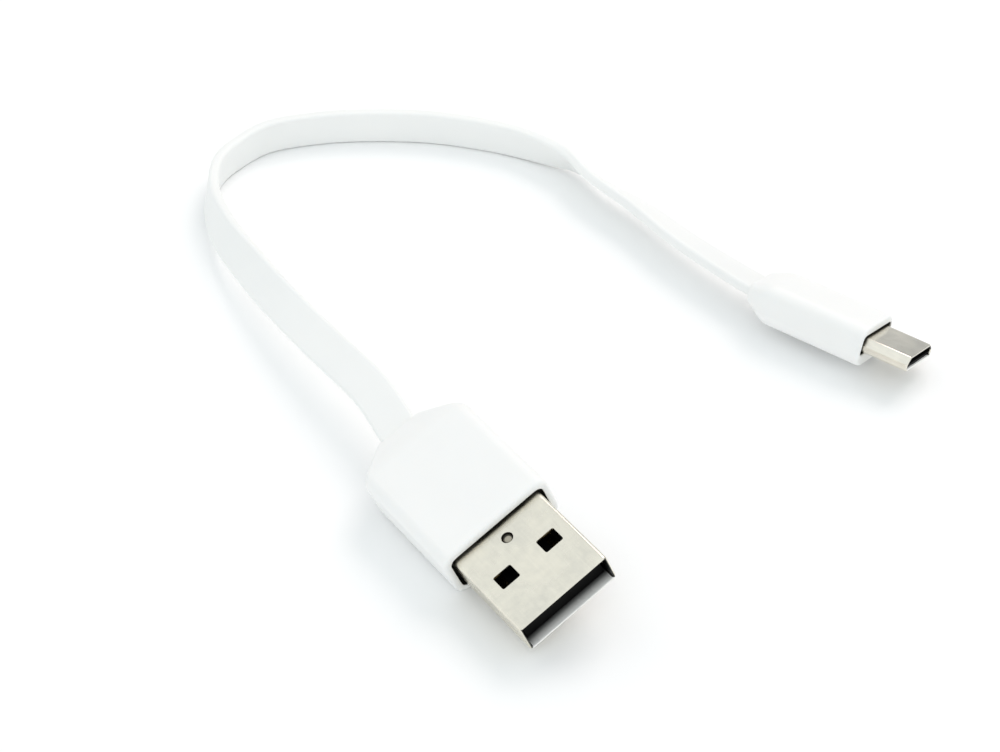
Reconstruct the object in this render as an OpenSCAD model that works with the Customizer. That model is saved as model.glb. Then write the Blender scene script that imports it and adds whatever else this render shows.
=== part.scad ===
// Short flat charging cable: a large rectangular plug, a small trapezoid plug and a flat white ribbon
// cable between them, lying in a loop on the floor. Lengths are in millimetres.
// The floor is z = 0, +Z is up and the large plug's mouth faces -Y.
// In each plug's own frame y = 0 is the mouth, +Y runs back to the cable and +Z is the cavity side.

/* [Large plug shell] */
// Outside width of the large plug's metal shell
usb_a_shell_w = 12; // [11:0.1:13]
// Outside height of the large plug's metal shell
usb_a_shell_h = 4.5; // [4:0.1:5]
// Sheet thickness of the large plug's metal shell
usb_a_shell_t = 0.3; // [0.2:0.05:0.5]
// Length of bare metal in front of the large plug's cover
usb_a_bare_len = 11.75; // [10:0.05:13]
// Whole length of the large plug's metal shell
usb_a_shell_len = 16.5; // [14:0.5:20]
// Width of each latch window
usb_a_window_w = 2.4; // [1.5:0.1:3]
// Length of each latch window
usb_a_window_len = 1.95; // [1:0.05:3]
// Distance of each latch window from the centre line
usb_a_window_x = 3; // [2:0.1:4]
// Distance of the latch windows behind the mouth
usb_a_window_y = 5.15; // [4:0.05:7]
// Distance of the small round dimple behind the mouth
usb_a_dimple_y = 9.9; // [9.5:0.1:10.5]
// Diameter of the small round dimple
usb_a_dimple_d = 1.3; // [0.8:0.05:1.5]
// Depth of the small round dimple, pressed into the black insulator
usb_a_dimple_depth = 0.4; // [0.1:0.05:0.6]

/* [Large plug inside] */
// Thickness of the black contact tongue
usb_a_tongue_t = 1.84; // [1.5:0.01:2]
// Distance of the tongue's front face behind the mouth
usb_a_tongue_recess = 1.4; // [0.5:0.1:3]
// Width of each flat contact
usb_a_contact_w = 1; // [0.6:0.1:1.4]
// Thickness of each flat contact
usb_a_contact_t = 0.3; // [0.15:0.05:0.4]

/* [Large plug cover] */
// Width of the large plug's white cover
usb_a_cover_w = 14.6; // [13:0.1:17]
// Height of the cover above the shell's centre line
usb_a_cover_up = 3.6; // [3:0.1:5]
// Height of the cover below the shell's centre line
usb_a_cover_down = 3.4; // [3:0.1:5]
// Distance from the mouth to the back end of the cover
usb_a_cover_end = 31; // [26:0.5:36]
// Corner radius along the cover
usb_a_cover_r = 1.4; // [0.5:0.1:2.5]
// Gap between the cover's front opening and the metal shell
usb_a_gap = 0.45; // [0.1:0.05:0.6]

/* [Small plug] */
// Outside width of the small plug's metal shell
micro_b_shell_w = 6.85; // [6:0.05:7.5]
// Outside height of the small plug's metal shell
micro_b_shell_h = 1.8; // [1.5:0.05:2.2]
// Sheet thickness of the small plug's metal shell
micro_b_shell_t = 0.25; // [0.15:0.05:0.3]
// Length of bare metal in front of the small plug's cover
micro_b_bare_len = 5.8; // [5:0.1:7]
// Whole length of the small plug's metal shell
micro_b_shell_len = 9; // [7:0.5:12]
// Distance between the small plug's contacts
micro_b_pitch = 0.65; // [0.5:0.05:0.8]
// Distance of each latch hook from the centre line
micro_b_latch_x = 2.15; // [2.1:0.05:2.4]
// Width of the small plug's white cover
micro_b_cover_w = 8.1; // [7.8:0.1:11]
// Height of the cover above the shell's centre line
micro_b_cover_up = 2.3; // [1.5:0.1:4]
// Height of the cover below the shell's centre line
micro_b_cover_down = 2.9; // [1.5:0.1:4]
// Distance from the mouth to the back end of the cover
micro_b_cover_end = 21.8; // [18:0.1:26]
// Corner radius along the cover
micro_b_cover_r = 1.6; // [0.3:0.1:2]
// Gap between the cover's front opening and the metal shell
micro_b_gap = 0.35; // [0.1:0.05:0.4]

/* [Flat cable] */
// Width of the flat cable
ribbon_w = 4.7; // [4:0.1:7]
// Thickness of the flat cable
ribbon_t = 1.3; // [1.1:0.1:2]
// Outside diameter of each insulated wire
wire_d = 0.84; // [0.6:0.02:0.9]
// Distance between neighbouring wires
wire_pitch = 1.1; // [1:0.05:1.3]
// Diameter of each copper conductor
core_d = 0.36; // [0.2:0.02:0.5]

/* [Hidden] */
$fn = 32;
eps = 0.01;

// where the two plugs lie: mouth centre, roll about their own length and turn about the vertical
usb_a_at = [-26.2, -15.5, 5.4];
usb_a_roll = 21;
micro_b_at = [31.15, -7.6, 3.65];
micro_b_roll = 19;
micro_b_turn = 18.5;

// the two ends of the flat cable inside the covers, measured behind each mouth
usb_a_jacket_y = 22;
usb_a_wire_y = 20;
usb_a_tail_y = 17.6;
micro_b_jacket_y = 13.4;
micro_b_wire_y = 12.6;
micro_b_tail_y = 10.6;

// contact places across each plug, in the order supply, data minus, data plus, ground
usb_a_contact_x = [3.5, 1, -1, -3.5];
micro_b_contact_x = [-2 * micro_b_pitch, -micro_b_pitch, 0, 2 * micro_b_pitch];
usb_a_tail_top = -0.05;
micro_b_tail_top = -0.35;

// inner mouldings, measured behind each mouth
usb_a_mould_w = 12.4;
usb_a_mould_h = 5;
usb_a_mould_end = 25.5;
micro_b_mould_w = 5.8;
micro_b_mould_h = 2.2;
micro_b_mould_end = 14.5;

// free route of the flat cable: x, y, z and the lean of its upper face towards the outside of the loop
free_route = [
    [-26.1, 16.2, 5.45, 21],
    [-25.4, 20.5, 5.7, 22],
    [-25, 24.8, 5.8, 23],
    [-24.9, 34.5, 5.2, 29],
    [-24.4, 45.1, 4.4, 38],
    [-23.6, 52.7, 3.8, 47],
    [-22.8, 58.8, 3.4, 58],
    [-21.3, 64.4, 3, 70],
    [-19.4, 68.4, 2.7, 78],
    [-16.2, 72.1, 2.45, 85],
    [-12.3, 73.8, 2.4, 88],
    [-7, 74.4, 2.4, 90],
    [-0.2, 71.8, 2.4, 90],
    [5.7, 68.1, 2.4, 90],
    [11.1, 63.7, 2.4, 90],
    [15.6, 58.6, 2.4, 89],
    [18.4, 54.4, 2.45, 86],
    [20.2, 50.4, 2.6, 76],
    [21.5, 46.7, 2.75, 60],
    [21.4, 41.5, 2.95, 47],
    [22.3, 33.8, 3.15, 34],
    [22.6, 24.8, 3.4, 25]
];

function usb_a_axis(y) = usb_a_at + [0, y, 0];
function micro_b_axis(y) = micro_b_at + [-sin(micro_b_turn) * y, cos(micro_b_turn) * y, 0];
function stop(p, lean) = [p[0], p[1], p[2], lean];
route = concat(
    [for (y = [usb_a_jacket_y, 25.5, 29]) stop(usb_a_axis(y), usb_a_roll)],
    free_route,
    [for (y = [22.5, 18, micro_b_jacket_y]) stop(micro_b_axis(y), micro_b_roll)]
);
last = len(route) - 1;
steps = 2;

// smooth curve through the stops of the route
function before() = 2 * route[0] - route[1];
function after() = 2 * route[last] - route[last - 1];
function at(i) = i < 0 ? before() : i > last ? after() : route[i];
function even(a, b, c, d, t) = 2 * b + (c - a) * t + (2 * a - 5 * b + 4 * c - d) * t * t;
function cubic(a, b, c, d, t) = (3 * b - a - 3 * c + d) * t * t * t;
function curve(a, b, c, d, t) = (even(a, b, c, d, t) + cubic(a, b, c, d, t)) / 2;
function span(i, t) = curve(at(i - 1), at(i), at(i + 1), at(i + 2), t);
path = concat([for (i = [0:last - 1]) for (k = [0:steps - 1]) span(i, k / steps)], [route[last]]);
ends = len(path) - 1;

// a station is [place, direction across the ribbon, direction out of its upper face]
function xyz(p) = [p[0], p[1], p[2]];
function unit(v) = v / norm(v);
function side(t) = unit(cross([0, 0, 1], t));
function face(t, a) = cross(t, side(t)) * cos(a) + side(t) * sin(a);
function station(p, t, a) = [p, cross(t, face(t, a)), face(t, a)];
function heading(i) = unit(xyz(path[min(i + 1, ends)]) - xyz(path[max(i - 1, 0)]));
stations = [for (i = [0:ends]) station(xyz(path[i]), heading(i), path[i][3])];
function usb_a_station(y) = [usb_a_axis(y), stations[0][1], stations[0][2]];
function micro_b_station(y) = [micro_b_axis(y), stations[ends][1], stations[ends][2]];

// one ring of points around a station, shifted across by u and up by v
function place(s, u, v) = s[0] + s[1] * u + s[2] * v;
function turned(k) = [cos(22.5 + 45 * k), sin(22.5 + 45 * k)];
function round_ring(s, r, u, v) = [for (k = [0:7]) place(s, u + r * turned(k)[0], v + r * turned(k)[1])];

// outline of the flat cable across its width, with stops at the borders between the wires
half_w = ribbon_w / 2;
half_t = ribbon_t / 2;
outline = [
    [half_w, 0.25],
    [half_w - 0.15, 0.5],
    [half_w - 0.45, half_t],
    [wire_pitch, half_t],
    [0, half_t],
    [-wire_pitch, half_t],
    [0.45 - half_w, half_t],
    [0.15 - half_w, 0.5],
    [-half_w, 0.25],
    [-half_w, -0.25],
    [0.15 - half_w, -0.5],
    [0.45 - half_w, -half_t],
    [-wire_pitch, -half_t],
    [0, -half_t],
    [wire_pitch, -half_t],
    [half_w - 0.45, -half_t],
    [half_w - 0.15, -0.5],
    [half_w, -0.25]
];
wire_u = [1.5 * wire_pitch, 0.5 * wire_pitch, -0.5 * wire_pitch, -1.5 * wire_pitch];
channel_r = wire_d / 2 + 0.02;
bore_r = core_d / 2 + 0.02;

// triangles between rings of n points; stride is the number of points at each station
function skin(base, n, rings, stride) = [
    for (i = [0:rings - 2]) for (k = [0:n - 1]) for (half = [0:1])
    let (a = base + i * stride + k, b = base + i * stride + (k + 1) % n)
    half == 0 ? [a, b, a + stride] : [b, b + stride, a + stride]
];
function flipped(faces) = [for (f = faces) [f[2], f[1], f[0]]];
function fan(base, n) = [for (k = [1:n - 2]) [base, base + k + 1, base + k]];
function loop_cap(a, b, n) = [
    for (k = [0:n - 1]) for (half = [0:1])
    let (m = (k + 1) % n)
    half == 0 ? [a + k, b + k, a + m] : [a + m, b + k, b + m]
];

// a solid round rod through a list of rings
module rod(rings) {
    n = len(rings);
    points = [for (r = rings) each r];
    faces = concat(skin(0, 8, n, 8), fan(0, 8), flipped(fan((n - 1) * 8, 8)));
    polyhedron(points, faces);
}

// a round tube through matching outer and inner rings
module tube(outer, inner) {
    n = len(outer);
    points = concat([for (r = outer) each r], [for (r = inner) each r]);
    walls = concat(skin(0, 8, n, 8), flipped(skin(n * 8, 8, n, 8)));
    front = loop_cap(0, n * 8, 8);
    back = flipped(loop_cap((n - 1) * 8, (2 * n - 1) * 8, 8));
    polyhedron(points, concat(walls, front, back));
}

// cap of one wire's cell of the flat cable: an outer corner list joined to the channel's ring
function corner_cap(c, h) = [
    for (q = [0:3]) for (part = [0:2])
    part == 0 ? [c[q], h + 2 * q, h + 2 * q + 1]
    : part == 1 ? [c[q], h + 2 * q + 1, h + (2 * q + 2) % 8]
    : [c[q], h + (2 * q + 2) % 8, c[(q + 1) % 4]]
];
function edge_cap(c, h) = [
    for (k = [0:7]) for (half = [0:1])
    half == 0 ? [c[k], h + k, h + (k + 1) % 8] : [c[k], h + (k + 1) % 8, c[(k + 1) % 8]]
];

// the flat cable's white jacket with its four channels
module jacket_solid() {
    n = len(stations);
    stride = 50;
    points = [
        for (s = stations)
        each concat(
            [for (p = outline) place(s, p[0], p[1])],
            [for (u = wire_u) each round_ring(s, channel_r, u, 0)]
        )
    ];
    walls = skin(0, 18, n, stride);
    channels = [for (j = [0:3]) each flipped(skin(18 + 8 * j, 8, n, stride))];
    end_cap = concat(
        edge_cap([0, 1, 2, 3, 14, 15, 16, 17], 18),
        corner_cap([3, 4, 13, 14], 26),
        corner_cap([4, 5, 12, 13], 34),
        edge_cap([5, 6, 7, 8, 9, 10, 11, 12], 42)
    );
    shift = (n - 1) * stride;
    far_cap = [for (f = end_cap) [f[2] + shift, f[1] + shift, f[0] + shift]];
    polyhedron(points, concat(walls, channels, end_cap, far_cap));
}

// insulation of wire j, and the copper conductor inside it with its bare ends
module insulation(j) {
    run = concat([usb_a_station(usb_a_wire_y)], stations, [micro_b_station(micro_b_wire_y)]);
    outer = [for (s = run) round_ring(s, wire_d / 2, wire_u[j], 0)];
    inner = [for (s = run) round_ring(s, bore_r, wire_u[j], 0)];
    tube(outer, inner);
}

module conductor(j) {
    r = core_d / 2;
    up_a = usb_a_tail_top + r;
    up_b = micro_b_tail_top + r;
    first = [
        round_ring(usb_a_station(15.9), r, usb_a_contact_x[j], up_a),
        round_ring(usb_a_station(17.4), r, usb_a_contact_x[j], up_a),
        round_ring(usb_a_station(usb_a_wire_y), r, wire_u[j], 0)
    ];
    middle = [for (s = stations) round_ring(s, r, wire_u[j], 0)];
    final = [
        round_ring(micro_b_station(micro_b_wire_y), r, wire_u[j], 0),
        round_ring(micro_b_station(10.8), r, -micro_b_contact_x[j], up_b),
        round_ring(micro_b_station(9.4), r, -micro_b_contact_x[j], up_b)
    ];
    rod(concat(first, middle, final));
}

// place a shape drawn in a plug's own frame
module in_usb_a() {
    translate(usb_a_at) rotate([0, -usb_a_roll, 0]) children();
}

module in_micro_b() {
    translate(micro_b_at) rotate([0, 0, micro_b_turn]) rotate([0, micro_b_roll, 0]) children();
}

// a block from y0 to y1 and z0 to z1, w wide about x
module bar(x, w, y0, y1, z0, z1) {
    translate([x - w / 2, y0, z0]) cube([w, y1 - y0, z1 - z0]);
}

// a profile drawn across x and z, run from y0 to y1
module along(y0, y1) {
    translate([0, y1, 0]) rotate([90, 0, 0]) linear_extrude(y1 - y0) children();
}

// a profile drawn along y and z, w wide about x
module across(x, w) {
    translate([x - w / 2, 0, 0]) rotate([90, 0, 90]) linear_extrude(w) children();
}

module rounded(w, z0, z1, r) {
    translate([r - w / 2, z0]) square([w - 2 * r, z1 - z0]);
    translate([-w / 2, z0 + r]) square([w, z1 - z0 - 2 * r]);
    for (x = [r - w / 2, w / 2 - r]) for (z = [z0 + r, z1 - r]) translate([x, z]) circle(r);
}

// ---- large plug ----

// a round plug of radius r from a depth below the shell's top up to z1
module usb_a_dimple(r, depth, z1) {
    z0 = usb_a_shell_h / 2 - depth;
    translate([0, usb_a_dimple_y, z0]) cylinder(h = z1 - z0, r = r);
}

module usb_a_shell() {
    w = usb_a_shell_w;
    h = usb_a_shell_h;
    t = usb_a_shell_t;
    color("silver") in_usb_a() difference() {
        union() {
            difference() {
                along(0, usb_a_shell_len) rounded(w, -h / 2, h / 2, 0.5);
                along(-1, usb_a_shell_len + 1) rounded(w - 2 * t, t - h / 2, h / 2 - t, 0.2);
            }
            usb_a_dimple(usb_a_dimple_d / 2 + 0.2, usb_a_dimple_depth + 0.2, h / 2 - t + 0.05);
        }
        for (x = [-usb_a_window_x, usb_a_window_x]) {
            bar(x, usb_a_window_w, usb_a_window_y, usb_a_window_y + usb_a_window_len, -h, h);
        }
        usb_a_dimple(usb_a_dimple_d / 2, usb_a_dimple_depth, h);
        bar(0, 0.06, -1, usb_a_shell_len + 1, -h, 0);
    }
}

module usb_a_insulator() {
    floor_z = usb_a_shell_t - usb_a_shell_h / 2;
    top_z = floor_z + usb_a_tongue_t;
    w = usb_a_shell_w - 2 * usb_a_shell_t;
    color("black") in_usb_a() difference() {
        union() {
            bar(0, w - 0.6, usb_a_tongue_recess, 10, floor_z, top_z);
            along(9.2, 15) rounded(w, floor_z, -floor_z, 0.2);
        }
        for (x = usb_a_contact_x) {
            bar(x, usb_a_contact_w, 2.4, 16, usb_a_tail_top - usb_a_contact_t, usb_a_tail_top);
            bar(x, usb_a_contact_w, 2.4, 9.2, usb_a_tail_top - usb_a_contact_t, 0.5);
        }
        usb_a_dimple(usb_a_dimple_d / 2 + 0.22, usb_a_dimple_depth + 0.22, usb_a_shell_h);
    }
}

module usb_a_contact(x) {
    color("gold") in_usb_a() {
        bar(x, usb_a_contact_w, 2.4, usb_a_tail_y, usb_a_tail_top - usb_a_contact_t, usb_a_tail_top);
    }
}

module usb_a_vbus_contact() {
    usb_a_contact(usb_a_contact_x[0]);
}

module usb_a_d_minus_contact() {
    usb_a_contact(usb_a_contact_x[1]);
}

module usb_a_d_plus_contact() {
    usb_a_contact(usb_a_contact_x[2]);
}

module usb_a_ground_contact() {
    usb_a_contact(usb_a_contact_x[3]);
}

// a bead of solder over a conductor lying on its tail
module solder(x, y0, y1, top, r) {
    z = top + core_d / 2;
    hole_r = core_d / 2 + 0.01;
    difference() {
        translate([x, y1, z]) rotate([90, 0, 0]) cylinder(h = y1 - y0, r = r);
        translate([x, y1 + 1, z]) rotate([90, 0, 0]) cylinder(h = y1 - y0 + 2, r = hole_r);
        bar(x, 4 * r, y0 - 1, y1 + 1, top - 2 * r, top);
    }
}

module usb_a_solder_joints() {
    color("lightgrey") in_usb_a() {
        for (x = usb_a_contact_x) solder(x, 16.1, 17.2, usb_a_tail_top, 0.42);
    }
}

module usb_a_inner_mould() {
    color("whitesmoke") in_usb_a() difference() {
        union() {
            along(15, 17) rounded(usb_a_shell_w - 2 * usb_a_shell_t, -1.95, 1.95, 0.2);
            bar(0, usb_a_mould_w, usb_a_shell_len, usb_a_mould_end, -usb_a_mould_h / 2, usb_a_mould_h / 2);
        }
        for (j = [0:3]) {
            x = usb_a_contact_x[j];
            u = wire_u[j];
            bar(x, 1.3, 14, 18, -0.4, 0.65);
            translate([0, 0, -0.3]) linear_extrude(0.75) {
                polygon([[x - 0.4, 17.3], [x + 0.4, 17.3], [u + 0.4, 20.3], [u - 0.4, 20.3]]);
            }
        }
        bar(0, 4.3, 19.9, usb_a_jacket_y, -0.45, 0.45);
        along(usb_a_jacket_y, usb_a_mould_end + 1) polygon(outline);
    }
}

module usb_a_cover_body() {
    w = usb_a_cover_w;
    up = usb_a_cover_up;
    down = usb_a_cover_down;
    front = usb_a_bare_len;
    back = usb_a_cover_end;
    turn_y = back - 4.2;
    intersection() {
        along(front, back) rounded(w, -down, up, usb_a_cover_r);
        translate([0, 0, -down]) linear_extrude(up + down) polygon([
            [-w / 2 + 0.3, front],
            [w / 2 - 0.3, front],
            [w / 2, front + 0.4],
            [w / 2, turn_y],
            [w / 2 - 0.5, turn_y + 0.9],
            [3.3, back],
            [-3.3, back],
            [-w / 2 + 0.5, turn_y + 0.9],
            [-w / 2, turn_y],
            [-w / 2, front + 0.4]
        ]);
        across(0, w + 2) polygon([
            [front, 0.3 - down],
            [front, up - 0.3],
            [front + 0.3, up],
            [turn_y, up],
            [turn_y + 1, up - 0.3],
            [back, 1.6],
            [back, -1.4],
            [turn_y + 1, 0.3 - down],
            [turn_y, -down],
            [front + 0.3, -down]
        ]);
    }
}

module usb_a_overmould() {
    h = usb_a_shell_h / 2;
    mould_z = usb_a_mould_h / 2;
    color("white") in_usb_a() difference() {
        usb_a_cover_body();
        along(usb_a_bare_len - 1, usb_a_shell_len) rounded(usb_a_shell_w, -h, h, 0.5);
        along(usb_a_bare_len - 1, usb_a_bare_len + 1.2) {
            rounded(usb_a_shell_w + 2 * usb_a_gap, -h - usb_a_gap, h + usb_a_gap, 0.9);
        }
        bar(0, usb_a_mould_w, usb_a_shell_len - eps, usb_a_mould_end, -mould_z, mould_z);
        along(usb_a_mould_end - 1, usb_a_cover_end + 1) polygon(outline);
    }
}

// ---- small plug ----

module micro_b_section(t) {
    w = micro_b_shell_w / 2 - t;
    h = micro_b_shell_h / 2 - t;
    polygon([
        [0.45 * t - 2.7, h],
        [2.7 - 0.45 * t, h],
        [w, 0.1 - 0.4 * t],
        [w, 0.45 * t - 0.55],
        [w - 0.35 + 0.4 * t, -h],
        [0.35 - 0.4 * t - w, -h],
        [-w, 0.45 * t - 0.55],
        [-w, 0.1 - 0.4 * t]
    ]);
}

module micro_b_shell() {
    color("silver") in_micro_b() difference() {
        along(0, micro_b_shell_len) micro_b_section(0);
        along(-1, micro_b_shell_len + 1) micro_b_section(micro_b_shell_t);
        for (x = [-micro_b_latch_x, micro_b_latch_x]) bar(x, 0.6, 0.7, 2.3, -2, 0);
    }
}

micro_b_lanes = [for (k = [-2:2]) k * micro_b_pitch];

module micro_b_insulator() {
    color("black") in_micro_b() difference() {
        along(0.25, micro_b_shell_len) micro_b_section(micro_b_shell_t);
        bar(0, micro_b_shell_w, 0, 5.6, -0.3, 2);
        for (x = micro_b_lanes) {
            bar(x, 0.38, 1.2, 5.6, -1, 0);
            bar(x, 0.3, 5.5, 10, micro_b_tail_top - 0.15, micro_b_tail_top);
        }
        for (x = [-micro_b_latch_x, micro_b_latch_x]) {
            bar(x, 0.55, 0.6, 5.6, -1, 0);
            bar(x, 0.45, 5.5, 8.2, -0.62, -0.49);
        }
    }
}

// springy front arm of a contact; it dips into its slot under the mating tongue
module micro_b_spring(x) {
    color("gold") in_micro_b() across(x, 0.3) polygon([
        [5.56, -0.5],
        [5.56, -0.35],
        [5, -0.35],
        [2.3, -0.02],
        [1.9, -0.02],
        [1.4, -0.32],
        [1.4, -0.44],
        [1.9, -0.16],
        [2.3, -0.16],
        [4.9, -0.5]
    ]);
}

module micro_b_vbus_spring() {
    micro_b_spring(micro_b_lanes[0]);
}

module micro_b_d_minus_spring() {
    micro_b_spring(micro_b_lanes[1]);
}

module micro_b_d_plus_spring() {
    micro_b_spring(micro_b_lanes[2]);
}

module micro_b_id_spring() {
    micro_b_spring(micro_b_lanes[3]);
}

module micro_b_ground_spring() {
    micro_b_spring(micro_b_lanes[4]);
}

module micro_b_contact_tails() {
    color("gold") in_micro_b() {
        for (x = micro_b_lanes) bar(x, 0.3, 5.6, micro_b_tail_y, micro_b_tail_top - 0.15, micro_b_tail_top);
    }
}

// sprung latch arm with the hook that stands out of the shell's wide side
module micro_b_latch(x) {
    color("silver") in_micro_b() across(x, 0.45) polygon([
        [5.56, -0.62],
        [5.56, -0.49],
        [0.95, -0.49],
        [0.95, -0.75],
        [1.4, -1.17],
        [1.6, -1.17],
        [1.9, -0.9],
        [2.1, -0.62]
    ]);
}

module micro_b_left_latch() {
    micro_b_latch(-micro_b_latch_x);
}

module micro_b_right_latch() {
    micro_b_latch(micro_b_latch_x);
}

module micro_b_latch_bases() {
    color("silver") in_micro_b() {
        for (x = [-micro_b_latch_x, micro_b_latch_x]) bar(x, 0.45, 5.6, 8.2, -0.62, -0.49);
    }
}

module micro_b_solder_joints() {
    color("lightgrey") in_micro_b() {
        for (x = micro_b_contact_x) solder(x, 9.5, 10.5, micro_b_tail_top, 0.28);
    }
}

module micro_b_inner_mould() {
    h = micro_b_mould_h / 2;
    color("whitesmoke") in_micro_b() difference() {
        bar(0, micro_b_mould_w, micro_b_shell_len, micro_b_mould_end, -h, h);
        bar(0, 3.4, 8, 11, -0.55, 0.2);
        translate([0, 0, -0.45]) linear_extrude(0.75) {
            polygon([[-1.6, 10.9], [1.6, 10.9], [2.1, 12.7], [-2.1, 12.7]]);
        }
        bar(0, 4.3, 12.5, micro_b_jacket_y, -0.45, 0.45);
        along(micro_b_jacket_y, micro_b_mould_end + 1) polygon(outline);
    }
}

module micro_b_cover_body() {
    w = micro_b_cover_w;
    up = micro_b_cover_up;
    down = micro_b_cover_down;
    front = micro_b_bare_len;
    back = micro_b_cover_end;
    turn_y = back - 2.9;
    intersection() {
        along(front, back) rounded(w, -down, up, micro_b_cover_r);
        translate([0, 0, -down]) linear_extrude(up + down) polygon([
            [-w / 2 + 0.25, front],
            [w / 2 - 0.25, front],
            [w / 2, front + 0.3],
            [w / 2, turn_y],
            [w / 2 - 0.3, turn_y + 0.7],
            [3, back],
            [-3, back],
            [-w / 2 + 0.3, turn_y + 0.7],
            [-w / 2, turn_y],
            [-w / 2, front + 0.3]
        ]);
        across(0, w + 2) polygon([
            [front, 0.25 - down],
            [front, up - 0.25],
            [front + 0.25, up],
            [turn_y, up],
            [turn_y + 0.8, up - 0.25],
            [back, 1.2],
            [back, -1.2],
            [turn_y + 0.8, 0.25 - down],
            [turn_y, -down],
            [front + 0.25, -down]
        ]);
    }
}

module micro_b_overmould() {
    h = micro_b_mould_h / 2;
    color("white") in_micro_b() difference() {
        micro_b_cover_body();
        along(micro_b_bare_len - 1, micro_b_shell_len) micro_b_section(0);
        along(micro_b_bare_len - 1, micro_b_bare_len + 1.2) {
            rounded(micro_b_shell_w + 2 * micro_b_gap, -1.3, 0.9 + micro_b_gap, 0.65);
        }
        bar(0, micro_b_mould_w, micro_b_shell_len - eps, micro_b_mould_end, -h, h);
        along(micro_b_mould_end - 1, micro_b_cover_end + 1) polygon(outline);
    }
}

// ---- flat cable ----

module ribbon_jacket() {
    color("white") jacket_solid();
}

module red_wire_insulation() {
    color("red") insulation(0);
}

module white_wire_insulation() {
    color("white") insulation(1);
}

module green_wire_insulation() {
    color("green") insulation(2);
}

module black_wire_insulation() {
    color("black") insulation(3);
}

module vbus_conductor() {
    color("chocolate") conductor(0);
}

module d_minus_conductor() {
    color("chocolate") conductor(1);
}

module d_plus_conductor() {
    color("chocolate") conductor(2);
}

module ground_conductor() {
    color("chocolate") conductor(3);
}

usb_a_shell();
usb_a_insulator();
usb_a_vbus_contact();
usb_a_d_minus_contact();
usb_a_d_plus_contact();
usb_a_ground_contact();
usb_a_solder_joints();
usb_a_inner_mould();
usb_a_overmould();
micro_b_shell();
micro_b_insulator();
micro_b_vbus_spring();
micro_b_d_minus_spring();
micro_b_d_plus_spring();
micro_b_id_spring();
micro_b_ground_spring();
micro_b_contact_tails();
micro_b_left_latch();
micro_b_right_latch();
micro_b_latch_bases();
micro_b_solder_joints();
micro_b_inner_mould();
micro_b_overmould();
ribbon_jacket();
red_wire_insulation();
white_wire_insulation();
green_wire_insulation();
black_wire_insulation();
vbus_conductor();
d_minus_conductor();
d_plus_conductor();
ground_conductor();
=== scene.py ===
import math

import bmesh
import bpy
import numpy as np
from mathutils import Matrix, Vector
from mathutils.geometry import tessellate_polygon


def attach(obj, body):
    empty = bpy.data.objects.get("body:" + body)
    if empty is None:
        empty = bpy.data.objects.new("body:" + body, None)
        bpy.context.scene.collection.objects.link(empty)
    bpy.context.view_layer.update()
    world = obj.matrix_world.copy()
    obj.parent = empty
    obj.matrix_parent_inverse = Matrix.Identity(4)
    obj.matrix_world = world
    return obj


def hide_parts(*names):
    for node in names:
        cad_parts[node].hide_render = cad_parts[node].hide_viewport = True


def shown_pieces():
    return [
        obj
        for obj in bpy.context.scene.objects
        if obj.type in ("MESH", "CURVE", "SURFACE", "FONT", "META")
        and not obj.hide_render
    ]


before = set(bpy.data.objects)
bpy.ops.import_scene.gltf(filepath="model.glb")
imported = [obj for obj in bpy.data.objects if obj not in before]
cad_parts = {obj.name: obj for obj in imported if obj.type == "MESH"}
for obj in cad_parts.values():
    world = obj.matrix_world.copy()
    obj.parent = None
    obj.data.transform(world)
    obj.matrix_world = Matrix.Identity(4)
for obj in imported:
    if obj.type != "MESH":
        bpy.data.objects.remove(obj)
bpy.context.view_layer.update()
scene = bpy.context.scene
MM = 0.001

# ---------------------------------------------------------------- camera

LOOK_AT = Vector((-8.1, 21.8, 0)) * MM
DISTANCE = 295.3 * MM
HEADING = math.radians(54.1)
ELEVATION = math.radians(42.9)
FORWARD = Vector((
    math.cos(ELEVATION) * math.cos(HEADING),
    math.cos(ELEVATION) * math.sin(HEADING),
    -math.sin(ELEVATION),
))
camera = bpy.data.objects.new("camera", bpy.data.cameras.new("camera"))
scene.collection.objects.link(camera)
camera.location = LOOK_AT - FORWARD * DISTANCE
camera.rotation_mode = "QUATERNION"
camera.rotation_quaternion = FORWARD.to_track_quat("-Z", "Y")
camera.data.lens = 90
camera.data.sensor_width = 36
camera.data.clip_start = 0.01
camera.data.clip_end = 20
scene.camera = camera

# ---------------------------------------------------------------- places

# each plug's own frame: y = 0 is the mouth, +Y runs back to the cable, +Z is the cavity side
LARGE_AT = Vector((-26.2, -15.5, 5.4)) * MM
LARGE_ROLL = 21
SMALL_AT = Vector((31.15, -7.6, 3.65)) * MM
SMALL_ROLL = 19
SMALL_TURN = 18.5
LARGE = Matrix.Translation(LARGE_AT) @ Matrix.Rotation(math.radians(-LARGE_ROLL), 4, "Y")
SMALL = (
    Matrix.Translation(SMALL_AT)
    @ Matrix.Rotation(math.radians(SMALL_TURN), 4, "Z")
    @ Matrix.Rotation(math.radians(SMALL_ROLL), 4, "Y")
)

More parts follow.
